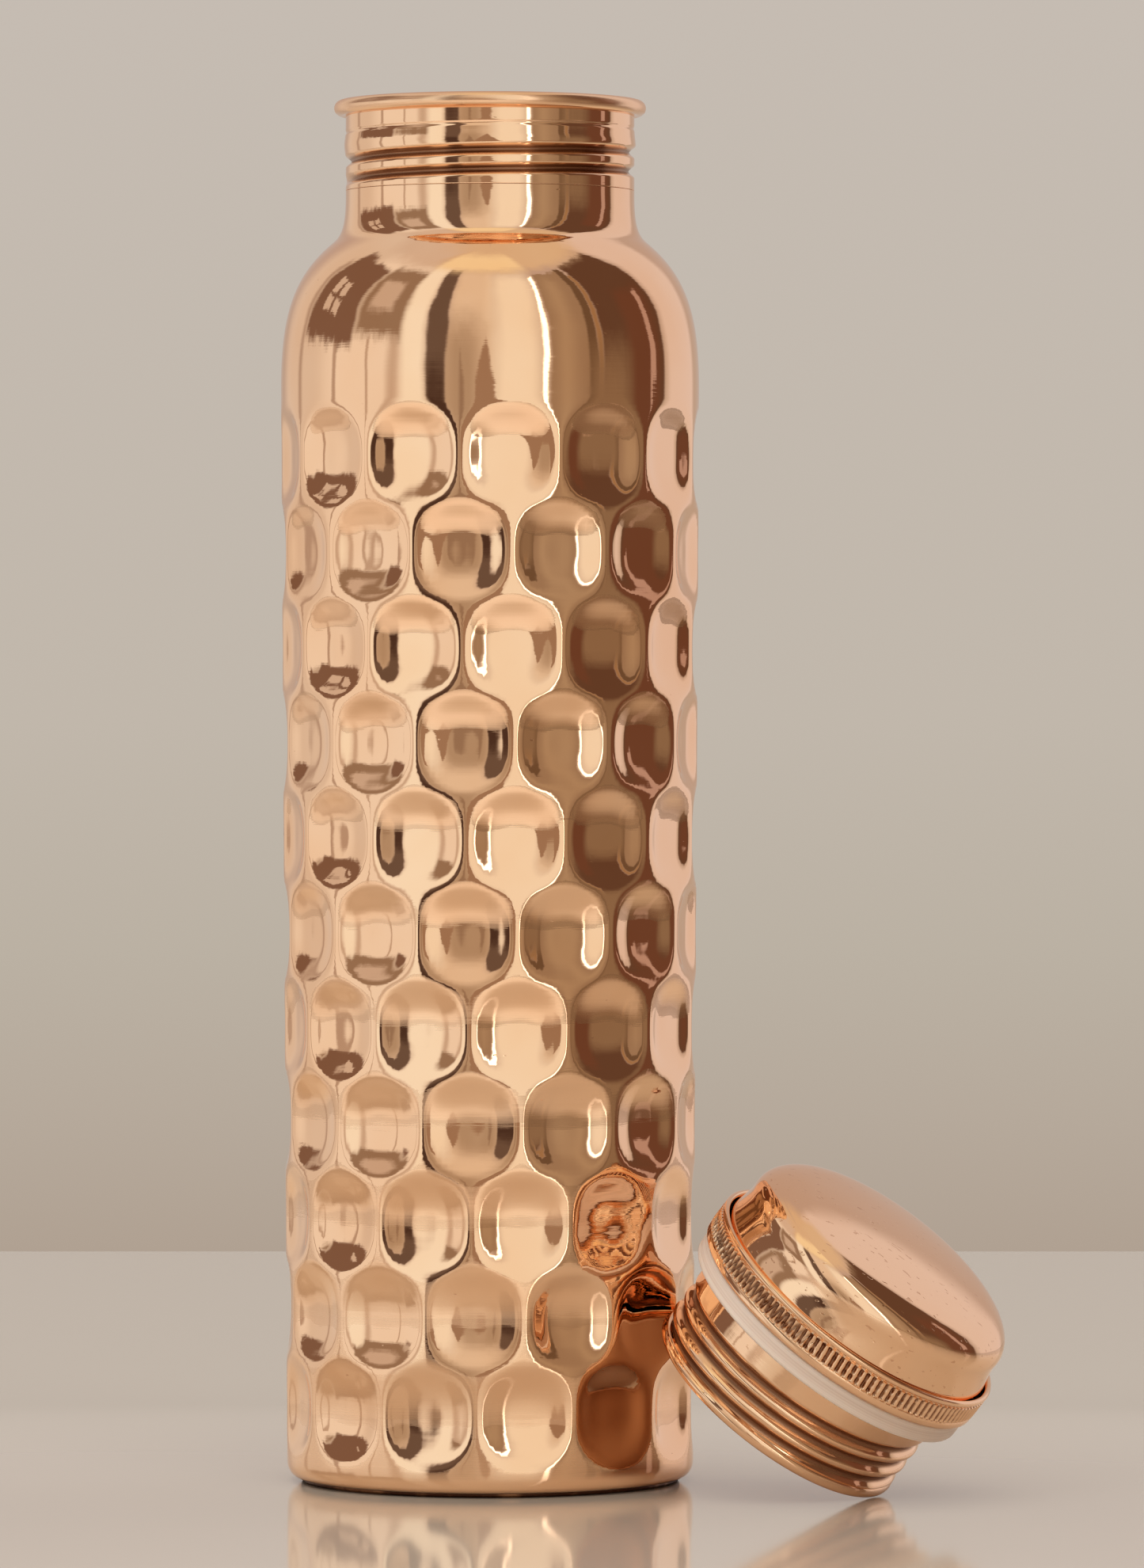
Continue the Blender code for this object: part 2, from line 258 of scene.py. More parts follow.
class Graph:
    """A material's or world's nodes, added and joined in short calls."""

    def __init__(self, tree: bpy.types.NodeTree) -> None:
        """Keeps the tree and clears what it held."""
        self.tree = tree
        tree.nodes.clear()

    def join(self, value: object, socket: Socket) -> None:
        """Gives an input its value, or links it where the value is an output."""
        if isinstance(value, Socket):
            self.tree.links.new(value, socket)
        else:
            socket.default_value = value

    def add(self, kind: str, settings: dict | None = None, **inputs: object) -> bpy.types.Node:
        """Adds one node.

        Args:
            kind: The node's type name.
            settings: Attributes to set on the node.
            inputs: Values or output sockets for its inputs, by name with _ for a space, or n0, n1.

        Returns:
            The new node.
        """
        node = self.tree.nodes.new(kind)
        for key, value in (settings or {}).items():
            setattr(node, key, value)
        for key, value in inputs.items():
            numbered = key[0] == "n" and key[1:].isdigit()
            self.join(value, node.inputs[int(key[1:]) if numbered else key.replace("_", " ")])
        return node

    def math(self, operation: str, first: object, second: object = 0.0, clamp: bool = False) -> Socket:
        """Adds a Math node and returns its result."""
        settings = {"operation": operation, "use_clamp": clamp}
        return self.add("ShaderNodeMath", settings, n0=first, n1=second).outputs[0]

    def times(self, first: object, second: object) -> Socket:
        """Multiplies two values."""
        return self.math("MULTIPLY", first, second)

    def step(
        self, value: object, low: float, high: float, bottom: float = 0.0, top: float = 1.0
    ) -> Socket:
        """Adds a smooth step from bottom to top as value goes from low to high."""
        settings = {"interpolation_type": "SMOOTHSTEP"}
        names = {"Value": value, "From_Min": low, "From_Max": high, "To_Min": bottom, "To_Max": top}
        return self.add("ShaderNodeMapRange", settings, **names).outputs[0]

    def mix(self, factor: object, first: object, second: object) -> Socket:
        """Adds a colour Mix node and returns its colour."""
        node = self.add("ShaderNodeMix", {"data_type": "RGBA"})
        for index, value in ((0, factor), (6, first), (7, second)):
            self.join(value, node.inputs[index])
        return node.outputs[2]

    def noise(self, vector: Socket, scale: float, detail: float = 2.0, rough: float = 0.5) -> Socket:
        """Adds a Noise Texture and returns its value."""
        inputs = {"Vector": vector, "Scale": scale, "Detail": detail, "Roughness": rough}
        return self.add("ShaderNodeTexNoise", None, **inputs).outputs[0]

    def stretch(self, vector: Socket, grain: Grain) -> Socket:
        """Adds a Mapping node that scales the coordinates along each axis."""
        return self.add("ShaderNodeMapping", {"vector_type": "POINT"}, Vector=vector, Scale=grain).outputs[0]

    def bump(self, strength: float, distance: float, height: Socket, **others: object) -> Socket:
        """Adds a Bump node and returns its normal."""
        inputs = {"Strength": strength, "Distance": distance, "Height": height, **others}
        return self.add("ShaderNodeBump", None, **inputs).outputs[0]

    def surface(self, **inputs: object) -> None:
        """Adds the Principled shader with its inputs, and the output."""
        shader = self.add("ShaderNodeBsdfPrincipled", None, **inputs)
        self.add("ShaderNodeOutputMaterial", None, Surface=shader.outputs[0])


def blank_material(name: str) -> tuple[bpy.types.Material, Graph]:
    """Makes a material with an empty graph, and returns both."""
    material = bpy.data.materials.new(name)
    material.use_nodes = True
    return material, Graph(material.node_tree)


@dataclass(frozen=True)
class Placement:
    """Where a piece's own axis stands in the frame, so that its grain can follow it."""

    matrix: Matrix = Matrix.Identity(4)

    def coordinates(self, graph: Graph) -> Socket:
        """Object coordinates turned so that the piece's own axis is +Z."""
        own = self.matrix.inverted()
        source = graph.add("ShaderNodeTexCoord").outputs["Object"]
        mapped = graph.add("ShaderNodeMapping", {"vector_type": "POINT"}, Vector=source)
        mapped.inputs["Location"].default_value = own.to_translation()
        mapped.inputs["Rotation"].default_value = own.to_euler()
        return mapped.outputs[0]


@dataclass(frozen=True)
class CopperFinish:
    """Polished copper with drawn-out buffing lines, small pits and uneven warmth.

    Attributes:
        name: The material's name.
        light: Colour of freshly buffed copper.
        warm: Colour where it has warmed with handling.
        edge: Tint of its glancing reflections.
        pit: Colour in a pit.
        groove_dark: Colour deep in a groove.
        smooth: Least roughness.
        dull: Most roughness.
        cloud_scale: Fineness of the warm and dull clouds.
        swell_scale: Fineness of the sheet's slow unevenness.
        swell: Strength of that unevenness.
        swell_height: Its height.
        buffing: Fineness of the buffing lines along the piece's axes.
        brushing: Fineness of the duller brush marks.
        grain: Strength of the buffing lines.
        grain_height: Their height.
        pits: Strength of the pits.
        pit_height: Their depth.
        pit_level: How high the noise stands where a pit begins.
        pit_grain: Fineness of the pits along the piece's axes.
        groove: Radius inside which the colour darkens, or nothing on a piece without grooves.
        groove_depth: How far inside that radius it is darkest.
        groove_band: Heights between which it darkens.
        satin_within: Radius inside which the copper is satin, or nothing.
        satin_above: Height above which it is satin, or nothing.
    """

    name: str
    light: Colour = (0.96, 0.635, 0.415, 1.0)
    warm: Colour = (0.94, 0.59, 0.365, 1.0)
    edge: Colour = (1.0, 0.95, 0.90, 1.0)
    pit: Colour = (0.55, 0.27, 0.14, 1.0)
    groove_dark: Colour = (0.20, 0.075, 0.035, 1.0)
    smooth: float = 0.03
    dull: float = 0.11
    cloud_scale: float = 38.0
    swell_scale: float = 95.0
    swell: float = 0.6
    swell_height: float = 0.03 * MM
    buffing: Grain = (45.0, 45.0, 1100.0)
    brushing: Grain = (40.0, 40.0, 520.0)
    grain: float = 1.1
    grain_height: float = 0.010 * MM
    pits: float = 0.3
    pit_height: float = 0.06 * MM
    pit_level: float = 0.80
    pit_grain: Grain = (420.0, 420.0, 1300.0)
    groove: float = 0.0
    groove_depth: float = 1.0 * MM
    groove_band: tuple[float, float] = (0.0, 1.0)
    satin_within: float = 0.0
    satin_above: float = 0.0

    def material(self, placement: Placement = Placement()) -> bpy.types.Material:
        """Builds the finish for pieces turned about a placement's axis."""
        material, graph = blank_material(self.name)
        where = placement.coordinates(graph)
        clouds = graph.noise(where, self.cloud_scale, 3.0, 0.55)
        pitting = graph.noise(graph.stretch(where, self.pit_grain), 1.0, 1.0, 0.4)
        holes = graph.step(pitting, self.pit_level, self.pit_level + 0.05)
        sheet = graph.mix(graph.step(clouds, 0.35, 0.7), self.light, self.warm)
        colour = graph.mix(graph.times(holes, 0.5), sheet, self.pit)
        brushed = graph.noise(graph.stretch(where, self.brushing), 1.0, 4.0, 0.7)
        shade = graph.times(graph.step(brushed, 0.45, 0.75), graph.step(clouds, 0.4, 0.65))
        rough = graph.step(shade, 0.0, 1.0, self.smooth, self.dull)
        if self.groove:
            colour, rough = self.worked(graph, where, colour, rough)
        graph.surface(
            Base_Color=colour,
            Metallic=1.0,
            Roughness=rough,
            Specular_Tint=self.edge,
            Normal=self.relief(graph, where, holes),
        )
        return material

    def worked(self, graph: Graph, where: Socket, colour: Socket, rough: Socket) -> tuple[Socket, Socket]:
        """Adds the satin parts and the darkening in the grooves.

        Args:
            graph: The material's graph.
            where: The piece's own coordinates.
            colour: The sheet's colour.
            rough: The sheet's roughness.

        Returns:
            The colour and the roughness with both added.
        """
        x, y, height = graph.add("ShaderNodeSeparateXYZ", None, Vector=where).outputs
        radius = graph.math("SQRT", graph.math("ADD", graph.times(x, x), graph.times(y, y)))
        low, high = self.groove_band
        ends = 0.2 * MM
        band = graph.times(graph.step(height, low, low + ends), graph.step(height, high, high - ends))
        inside = graph.step(radius, self.groove, self.groove - self.groove_depth)
        darkening = graph.times(band, inside)
        if self.satin_within:
            satin = graph.step(radius, self.satin_within, self.satin_within - 1.0 * MM)
            rough = graph.math("ADD", rough, graph.times(satin, 0.5))
        if self.satin_above:
            satin = graph.step(height, self.satin_above, self.satin_above + 0.4 * MM)
            rough = graph.math("ADD", rough, graph.times(satin, 0.22))
        # The colour darkens towards the bottom of each groove.
        colour = graph.mix(graph.times(darkening, 0.88), colour, self.groove_dark)
        return colour, graph.math("ADD", rough, graph.times(darkening, 0.22))

    def relief(self, graph: Graph, where: Socket, holes: Socket) -> Socket:
        """The normal over the slow unevenness, the buffing lines and the pits."""
        waves = graph.noise(where, self.swell_scale, 1.0, 0.4)
        lines = graph.noise(graph.stretch(where, self.buffing), 1.0, 3.0, 0.6)
        broad = graph.bump(self.swell, self.swell_height, waves)
        fine = graph.bump(self.grain, self.grain_height, lines, Normal=broad)
        deep = {"Strength": self.pits, "Distance": self.pit_height, "Height": holes, "Normal": fine}
        return graph.add("ShaderNodeBump", {"invert": True}, **deep).outputs[0]


@dataclass(frozen=True)
class FootShadowFinish:
    """Dark brown-black copper, a painted shadow for the shade under the foot, with paler blotches."""

    name: str = "painted_shadow_copper"
    shadow_dark: Colour = (0.10, 0.038, 0.020, 1.0)
    shadow_pale: Colour = (0.42, 0.20, 0.10, 1.0)
    blotch_scale: float = 120.0
    speck_scale: float = 700.0
    speck_height: float = 0.08 * MM

    def material(self) -> bpy.types.Material:
        """Builds the finish."""
        material, graph = blank_material(self.name)
        where = Placement().coordinates(graph)
        blotches = graph.noise(where, self.blotch_scale, 4.0, 0.6)
        specks = graph.noise(where, self.speck_scale, 2.0, 0.5)
        # Painted shadow: the foot's colour is near black to stand in for the shade under the body, paler in
        # random blotches.
        graph.surface(
            Base_Color=graph.mix(graph.step(blotches, 0.48, 0.72), self.shadow_dark, self.shadow_pale),
            Metallic=0.9,
            Roughness=graph.step(blotches, 0.3, 0.7, 0.55, 0.32),
            Normal=graph.bump(0.4, self.speck_height, specks),
        )
        return material


@dataclass(frozen=True)
class SiliconeFinish:
    """Milky moulded silicone with fine turned lines."""

    name: str = "milky_silicone"
    colour: Colour = (0.97, 0.81, 0.71, 1.0)
    shade: Colour = (0.82, 0.65, 0.55, 1.0)
    turning: Grain = (9.0, 9.0, 2400.0)
    line_height: float = 0.08 * MM

    def material(self, placement: Placement) -> bpy.types.Material:
        """Builds the finish for a ring about the placement's axis."""
        material, graph = blank_material(self.name)
        where = placement.coordinates(graph)
        turned = graph.noise(graph.stretch(where, self.turning), 1.0, 3.0, 0.6)
        graph.surface(
            Base_Color=graph.mix(graph.step(turned, 0.35, 0.65), self.shade, self.colour),
            Roughness=0.42,
            Subsurface_Weight=0.35,
            Subsurface_Radius=(1.0, 0.80, 0.62),
            Subsurface_Scale=2.0 * MM,
            Normal=graph.bump(0.35, self.line_height, turned),
        )
        return material


@dataclass(frozen=True)
class BrazeFinish:
    """Filed filler metal, duller and yellower than the sheet it joins."""

    name: str = "filed_braze"
    colour: Colour = (0.84, 0.66, 0.36, 1.0)
    stained: Colour = (0.45, 0.26, 0.14, 1.0)
    lump_scale: float = 260.0
    lump_height: float = 0.2 * MM

    def material(self) -> bpy.types.Material:
        """Builds the finish."""
        material, graph = blank_material(self.name)
        where = Placement().coordinates(graph)
        lumps = graph.noise(where, self.lump_scale, 4.0, 0.6)
        graph.surface(
            Base_Color=graph.mix(graph.step(lumps, 0.4, 0.7), self.colour, self.stained),
            Metallic=1.0,
            Roughness=graph.step(lumps, 0.3, 0.7, 0.3, 0.6),
            Normal=graph.bump(0.5, self.lump_height, lumps),
        )
        return material


@dataclass(frozen=True)
class LacquerFinish:
    """The table's pale gloss lacquer, with its lighter and darker parts round the set.

    Attributes:
        name: The material's name.
        pale: Its colour by the bottle.
        paler: Its colour in the clouds there.
        far: Its colour behind the bottle, painted lighter.
        lit: Its colour with painted light, on the left and in front.
        shaded: Its colour with painted shade, on the right.
    """

    name: str = "pale_lacquer"
    pale: Colour = (0.60, 0.535, 0.45, 1.0)
    paler: Colour = (0.63, 0.56, 0.475, 1.0)
    far: Colour = (0.86, 0.79, 0.65, 1.0)
    lit: Colour = (0.84, 0.81, 0.76, 1.0)
    shaded: Colour = (0.30, 0.235, 0.175, 1.0)

    def material(self) -> bpy.types.Material:
        """Builds the finish."""
        material, graph = blank_material(self.name)
        where = Placement().coordinates(graph)
        cloud = graph.noise(where, 3.0, 2.0)
        near = graph.mix(graph.step(cloud, 0.3, 0.7), self.pale, self.paler)
        across, along, _ = graph.add("ShaderNodeSeparateXYZ", None, Vector=where).outputs
        # Painted light on the left and in front, painted light behind the bottle, and painted shade on the
        # right.
        aside = graph.step(across, -0.20, -0.34)
        front = graph.times(graph.step(along, -0.15, -0.30), graph.step(across, 0.26, 0.10))
        behind = graph.mix(graph.step(along, -0.08, 0.22), near, self.far)
        open_side = graph.mix(graph.math("MAXIMUM", aside, front), behind, self.lit)
        colour = graph.mix(graph.step(across, 0.16, 0.44), open_side, self.shaded)
        graph.surface(Base_Color=colour, Roughness=0.09, IOR=1.5)
        return material


@dataclass
class Bottle:
    """The standing bottle: hammered body, threaded neck and foot."""

    material: bpy.types.Material
    neck_material: bpy.types.Material
    foot_material: bpy.types.Material
    sheet: float = 0.7 * MM

    foot_radius: float = 35.5 * MM
    foot_curl: Point = (33.1 * MM, 3.5 * MM)
    foot_curl_radii: Point = (2.4 * MM, 2.85 * MM)
    wall_start: float = 3.8 * MM
    shoulder_radius: float = 36.5 * MM
    shoulder_start: float = 191.0 * MM
    shoulder_pull_out: Point = (36.5 * MM, 204.0 * MM)
    shoulder_pull_in: Point = (34.0 * MM, 210.5 * MM)
    shoulder_end: Point = (27.5 * MM, 215.9 * MM)
    cove_pull_out: Point = (26.2 * MM, 217.0 * MM)
    cove_pull_in: Point = (25.24 * MM, 218.2 * MM)
    cove_end: float = 223.8 * MM

    bowls_around: int = 13
    bowl_rows: int = 11
    top_row: float = 178.4 * MM
    row_pitch: float = 16.44 * MM
    bowl_depth: float = 1.76 * MM
    bowl_half_height: float = 9.1 * MM
    bowl_squareness: float = 2.45
    bowl_flatness: float = 3.4
    first_bowl: float = math.radians(5.9)
    row_drift: float = math.radians(0.45)
    rise_sway: float = 0.35 * MM
    turn_sway: float = 0.008
    depth_sway: float = 0.08
    sway_step: Point = (3.7, 2.3)
    steps_per_bowl: int = 17

    neck_radius: float = 25.2 * MM
    neck_seam: float = 225.0 * MM
    neck_gap: float = 0.06 * MM
    neck_top: float = 238.2 * MM
    thread: RolledThread = RolledThread(lowest=227.6 * MM, span=(-100.0, 510.0))
    scribed: RolledThread = RolledThread(
        lowest=235.5 * MM,
        span=(-170.0, 190.0),
        pitch=1.6 * MM,
        depth=0.16 * MM,
        half_width=0.5 * MM,
        fade=12.0,
    )
    swell: float = 0.24 * MM
    swell_middle: float = 233.0 * MM
    swell_spread: float = 1.6 * MM
    plain_above: float = 237.5 * MM
    lip: Point = (25.85 * MM, 239.45 * MM)
    lip_bead: float = 1.35 * MM

    pan_radius: float = 33.0 * MM
    pan_height: float = 6.0 * MM
    pan_floor: float = 0.8 * MM
    pan_edge: float = 0.5 * MM
    pan_corner: float = 1.2 * MM

    def ridge_radius(self, height: float) -> float:
        """Radius of the ridges on the slightly tapered body."""
        share = min(max(height / self.shoulder_start, 0.0), 1.0)
        return self.foot_radius + (self.shoulder_radius - self.foot_radius) * share

    def pressed(self, bearing: float, height: float) -> float:
        """How far the hammer and die have pressed the sheet in.

        Args:
            bearing: Angle from the front towards +X.
            height: Height above the table.

        Returns:
            The depth, which is smooth across the ridges.
        """
        pitch = math.tau / self.bowls_around
        depth = 0.0
        for row in range(self.bowl_rows):
            stagger = 0.5 * pitch if row % 2 else 0.0
            centre = self.first_bowl + self.row_drift * row + stagger
            column = round((bearing - centre) / pitch) % self.bowls_around
            sway = noise.noise_vector(Vector((row * self.sway_step[0], column * self.sway_step[1], 0.0)))
            middle = self.top_row - row * self.row_pitch
            rise = (height - middle - self.rise_sway * sway.x) / self.bowl_half_height
            if abs(rise) >= 1.0:
                continue
            swing = math.remainder(bearing - centre - self.turn_sway * sway.y, pitch) / (0.5 * pitch)
            reach = abs(rise) ** self.bowl_squareness + abs(swing) ** self.bowl_squareness
            if reach >= 1.0:
                continue
            edge = reach ** (self.bowl_flatness / self.bowl_squareness)
            depth += self.bowl_depth * (1.0 + self.depth_sway * sway.z) * (1.0 - edge) ** 2
        return depth

    def body(self) -> bpy.types.Object:
        """The tube, shoulder and short neck, pressed all over and given the sheet's thickness."""
        # Without a fixed seed the sway of the bowls would differ from run to run.
        noise.seed_set(SWAY_SEED)
        rows = self.bowl_rows * (self.steps_per_bowl - 1)
        low = self.top_row - (self.bowl_rows - 0.4) * self.row_pitch
        high = self.top_row + 0.6 * self.row_pitch
        path = Outline().arc(self.foot_curl, self.foot_curl_radii, -80.0, 0.0, 8)
        for index in range(rows + 1):
            height = low + (high - low) * index / rows
            if height > self.wall_start:
                path.points.append((self.ridge_radius(height), height))
        path.to(self.shoulder_radius, self.shoulder_start)
        path.curve(self.shoulder_pull_out, self.shoulder_pull_in, self.shoulder_end, 21)
        path.curve(self.cove_pull_out, self.cove_pull_in, (self.neck_radius, self.cove_end), 13)
        path.to(self.neck_radius, self.neck_seam, 2)
        bm = path.spin(self.bowls_around * self.steps_per_bowl, Role.OPEN_SHEET)
        shift_radius(bm, lambda radius, angle, height: radius - self.pressed(angle - FRONT, height))
        bmesh.ops.solidify(bm, geom=bm.faces[:], thickness=self.sheet)
        return finish_piece("hammered_body", bm, self.material)

    def neck(self) -> bpy.types.Object:
        """The neck ring, with its rolled thread, its scribed run-out line and its rolled lip."""
        chamfer = 0.05 * MM
        straight_top = 236.6 * MM
        inner_top = 238.6 * MM
        bottom = self.neck_seam + self.neck_gap
        inner = self.neck_radius - self.sheet
        path = Outline().to(self.neck_radius - chamfer, bottom).to(self.neck_radius, bottom + chamfer)
        path.to(self.neck_radius, straight_top, 76).to(self.neck_radius, self.neck_top, 2)
        path.arc(self.lip, (self.lip_bead, self.lip_bead), -112.0, 168.0, 28)
        path.to(inner, inner_top, 2).to(inner, bottom, 44)
        bm = path.spin(216, Role.CLOSED_RING)

        def roll(radius: float, angle: float, height: float) -> float:
            """The wall's radius with the swell raised and both grooves rolled in."""
            if height > self.plain_above:
                return radius
            swell = math.exp(-(((height - self.swell_middle) / self.swell_spread) ** 2))
            grooves = self.thread.bite(angle, height) + self.scribed.bite(angle, height)
            return radius + self.swell * swell - grooves

        shift_radius(bm, roll)
        return finish_piece("threaded_neck", bm, self.neck_material, THREAD_CREASE)

    def foot(self) -> bpy.types.Object:
        """The pressed base pan, whose rounded edge shows as a shadow line under the body; its finish paints
        that shadow darker.
        """
        edge, corner = self.pan_edge, self.pan_corner
        inner = self.pan_radius - self.sheet
        path = Outline().to(0.0, 0.0).to(self.pan_radius - edge, 0.0, 6)
        path.arc((self.pan_radius - edge, edge), (edge, edge), -80.0, 0.0, 5)
        path.to(self.pan_radius, self.pan_height, 3).to(inner, self.pan_height)
        path.arc((inner - corner, self.pan_floor + corner), (corner, corner), 0.0, -90.0, 6)
        path.to(0.0, self.pan_floor, 6)
        bm = path.spin(160, Role.CLOSED_ON_AXIS)
        return finish_piece("foot_pan", bm, self.foot_material)


@dataclass
class Lid:
    """The screw lid, drawn upright on its own axis and then laid as the frame says.

    Heights are measured from the plug's open end.
    """

    matrix: Matrix
    domed: bpy.types.Material
    threaded: bpy.types.Material
    knurled: bpy.types.Material
    silicone: bpy.types.Material
    sheet: float = 0.7 * MM

    rim_radius: float = 26.5 * MM
    rim_bottom: float = 21.6 * MM
    waist_pull_out: Point = (26.3 * MM, 26.4 * MM)
    waist_pull_in: Point = (25.5 * MM, 28.6 * MM)
    waist_end: Point = (25.75 * MM, 30.7 * MM)
    crown_pull_out: Point = (25.85 * MM, 33.6 * MM)
    crown_pull_in: Point = (23.0 * MM, 35.96 * MM)
    crown_edge: Point = (18.0 * MM, 36.9 * MM)
    top_pull_out: Point = (12.0 * MM, 38.03 * MM)
    top_pull_in: Point = (6.0 * MM, 38.6 * MM)
    top: float = 38.6 * MM

    collar_radius: float = 28.0 * MM
    collar_bore: float = 24.4 * MM
    collar_bottom: float = 19.25 * MM
    collar_floor: float = 20.1 * MM
    collar_top: float = 25.4 * MM
    collar_seat: float = 26.9 * MM
    knurl_low: float = 20.8 * MM
    knurl_high: float = 24.1 * MM
    knurl_depth: float = 0.64 * MM
    knurl_sharpness: float = 1.3
    knurl_lead: float = 0.5 / MM
    crossing_lead: float = -1.3 / MM
    teeth: int = 132
    steps_per_tooth: int = 9

    plug_radius: float = 24.0 * MM
    plug_bore: float = 22.2 * MM
    plug_bead: float = 1.2 * MM
    plug_bead_radius: float = 22.95 * MM
    plug_floor: float = 2.0 * MM
    plug_corner: float = 1.0 * MM
    plug_top: float = 20.05 * MM
    barrel_start: float = 12.9 * MM
    thread: RolledThread = RolledThread(
        lowest=3.3 * MM, span=(-150.0, 870.0), depth=1.2 * MM, half_width=1.65 * MM
    )

    washer_inner: float = 24.3 * MM
    washer_outer: float = 27.2 * MM
    washer_low: float = 15.7 * MM
    washer_high: float = 19.1 * MM
    washer_edge: float = 0.45 * MM

    def laid(
        self, name: str, bm: bmesh.types.BMesh, material: bpy.types.Material, crease: float = SOFT_CREASE
    ) -> bpy.types.Object:
        """Lays a finished mesh where the lid lies, and makes its object."""
        bmesh.ops.transform(bm, matrix=self.matrix, verts=bm.verts)
        return finish_piece(name, bm, material, crease)

    def dome(self) -> bpy.types.Object:
        """The spun dome, hollow, with its waist above the collar."""
        path = Outline().to(self.rim_radius, self.rim_bottom)
        path.to(self.rim_radius, self.collar_top - 0.2 * MM, 4)
        path.curve(self.waist_pull_out, self.waist_pull_in, self.waist_end, 14)
        path.curve(self.crown_pull_out, self.crown_pull_in, self.crown_edge, 22)
        path.curve(self.top_pull_out, self.top_pull_in, (0.0, self.top), 16)
        bm = path.spin(224, Role.OPEN_SHEET)
        bmesh.ops.solidify(bm, geom=bm.faces[:], thickness=self.sheet)
        return self.laid("lid_dome", bm, self.domed)

    def collar_path(self) -> Outline:
        """The grip ring's section: plain lip, knurled band, polished bead and the seat inside."""
        outer, bottom, top = self.collar_radius, self.collar_bottom, self.collar_top
        low, high = self.knurl_low, self.knurl_high
        round_edge = 0.6 * MM
        band = outer - 0.05 * MM
        nick = 0.15 * MM
        path = Outline().to(self.collar_bore, bottom).to(outer - round_edge, bottom, 3)
        path.arc((outer - 0.7 * MM, bottom + round_edge), (round_edge, round_edge), -80.0, 0.0, 5)
        path.to(outer - 0.1 * MM, low - nick, 2).to(outer - 0.25 * MM, low)
        path.to(band, low + nick).to(band, high - nick, 18)
        path.to(outer - 0.35 * MM, high).to(outer - 0.3 * MM, high + 0.12 * MM)
        path.arc((outer - round_edge, top - round_edge), (round_edge, round_edge), -60.0, 105.0, 9)
        path.to(self.collar_seat + 0.05 * MM, top - 0.35 * MM).to(self.collar_seat, self.collar_floor, 2)
        return path.to(self.collar_bore, self.collar_floor, 2)

    def collar(self) -> bpy.types.Object:
        """The grip ring, with its knurl cut along one lead and, over part of it, across a second."""
        bm = self.collar_path().spin(self.teeth, Role.CLOSED_RING)
        divide_turns(bm, self.teeth, self.steps_per_tooth)
        band = self.collar_radius - 0.07 * MM
        run_out = 0.35 * MM

        def cut(radius: float, angle: float, height: float) -> float:
            """The band's radius between and on its teeth."""
            if radius < band or not self.knurl_low < height < self.knurl_high:
                return radius
            rise = height - self.knurl_low
            slant = self.teeth * angle
            first = (0.5 + 0.5 * math.cos(slant + self.knurl_lead * rise)) ** self.knurl_sharpness
            crossing = (0.5 + 0.5 * math.cos(slant + self.crossing_lead * rise)) ** self.knurl_sharpness
            share = min(1.0, max(0.0, 0.1 + 1.3 * math.sin(2.0 * angle + 0.2)))
            place = Vector((math.cos(angle), math.sin(angle), height / MM * 0.12)) * 11.0
            uneven = 0.85 + 0.5 * noise.noise(place)
            edge = min(rise, self.knurl_high - height) / run_out
            return radius - self.knurl_depth * uneven * max(first, 0.9 * share * crossing) * min(edge, 1.0)

        shift_radius(bm, cut)
        return self.laid("knurled_grip", bm, self.knurled, KNURL_CREASE)

    def plug(self) -> bpy.types.Object:
        """The drawn plug: rolled open end, rolled thread, plain barrel and closed floor."""
        bead, bore, corner = self.plug_bead, self.plug_bore, self.plug_corner
        wall = 2.45 * MM
        path = Outline().to(0.0, bead).to(self.plug_bead_radius - bead, bead, 5)
        path.arc((self.plug_bead_radius, bead), (bead, bead), -165.0, 62.0, 24)
        path.to(self.plug_radius, wall).to(self.plug_radius, self.barrel_start, 72)
        path.to(self.plug_radius + 0.1 * MM, self.plug_top, 8).to(bore, self.plug_top, 2)
        path.to(bore, self.plug_floor + corner, 6)
        path.arc((bore - corner, self.plug_floor + corner), (corner, corner), 0.0, -90.0, 5)
        path.to(0.0, self.plug_floor, 5)
        bm = path.spin(216, Role.CLOSED_ON_AXIS)

        def roll(radius: float, angle: float, height: float) -> float:
            """The wall's radius with the thread rolled in."""
            if radius < self.plug_radius - 0.02 * MM or height > self.barrel_start + 0.1 * MM:
                return radius
            return radius - self.thread.bite(angle, height)

        shift_radius(bm, roll)
        return self.laid("rolled_plug", bm, self.threaded, THREAD_CREASE)

    def washer(self) -> bpy.types.Object:
        """The silicone washer, with softened edges."""
        low, high, edge = self.washer_low, self.washer_high, self.washer_edge
        inner, outer = self.washer_inner, self.washer_outer
        path = Outline().to(inner, low).to(outer - edge, low, 3)
        path.arc((outer - edge, low + edge), (edge, edge), -75.0, 0.0, 5)
        path.to(outer, high - edge, 6)
        path.arc((outer - edge, high - edge), (edge, edge), 10.0, 90.0, 5)
        path.to(inner, high, 3)
        bm = path.spin(192, Role.CLOSED_RING)
        return self.laid("silicone_washer", bm, self.silicone)


